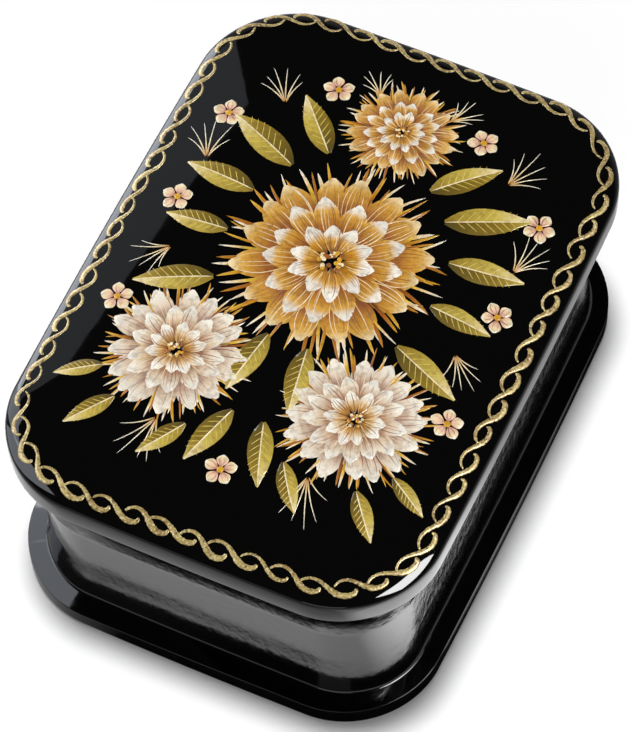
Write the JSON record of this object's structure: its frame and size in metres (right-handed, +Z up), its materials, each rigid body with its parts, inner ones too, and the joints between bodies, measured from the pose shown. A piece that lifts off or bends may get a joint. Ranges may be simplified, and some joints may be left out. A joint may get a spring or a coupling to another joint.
{
  "type": "trinket box",
  "caption": "Small black lacquered keepsake box with a domed hinged lid, a gold scroll border, a painted flower bouquet and a red interior.",
  "frame": {"origin": "centre of the base board's flat underside, on the table", "axes": "+Z up, +Y along the box's length towards the hinged end, +X across its width"},
  "size_m": [0.066, 0.09, 0.0394],
  "materials": {
    "black_lacquer": "papier-mache under many coats of deep black gloss lacquer",
    "red_lacquer": "papier-mache under deep red gloss lacquer",
    "hinge_brass": "dull drawn brass",
    "gold_paint": "mottled pale gold paint under clear lacquer",
    "blossom_paint": "ochre and golden orange tempera strokes with cream tips under clear lacquer",
    "leaf_paint": "yellow green tempera strokes under clear lacquer",
    "bud_paint": "pale pink and cream tempera strokes under clear lacquer"
  },
  "bodies": {
    "box": {"base_board": "black_lacquer", "wall": "black_lacquer", "liner": "red_lacquer", "floor_board": "red_lacquer", "hinge_leaf_box": "hinge_brass", "hinge_pin": "hinge_brass", "hinge_nails_box": "hinge_brass"},
    "lid": {"lid_frame": "black_lacquer", "lid_panel": "black_lacquer", "hinge_leaf_lid": "hinge_brass", "hinge_nails_lid": "hinge_brass", "gold_border": "gold_paint", "painted_blossoms": "blossom_paint", "painted_leaves": "leaf_paint", "painted_buds": "bud_paint"}
  },
  "joints": [
    {"name": "lid_hinge", "type": "hinge", "parent": "box", "child": "lid", "pos_m": [0, 0.0428, 0.0327], "axis": [-1, 0, 0], "range_deg": [0, 95]}
  ]
}
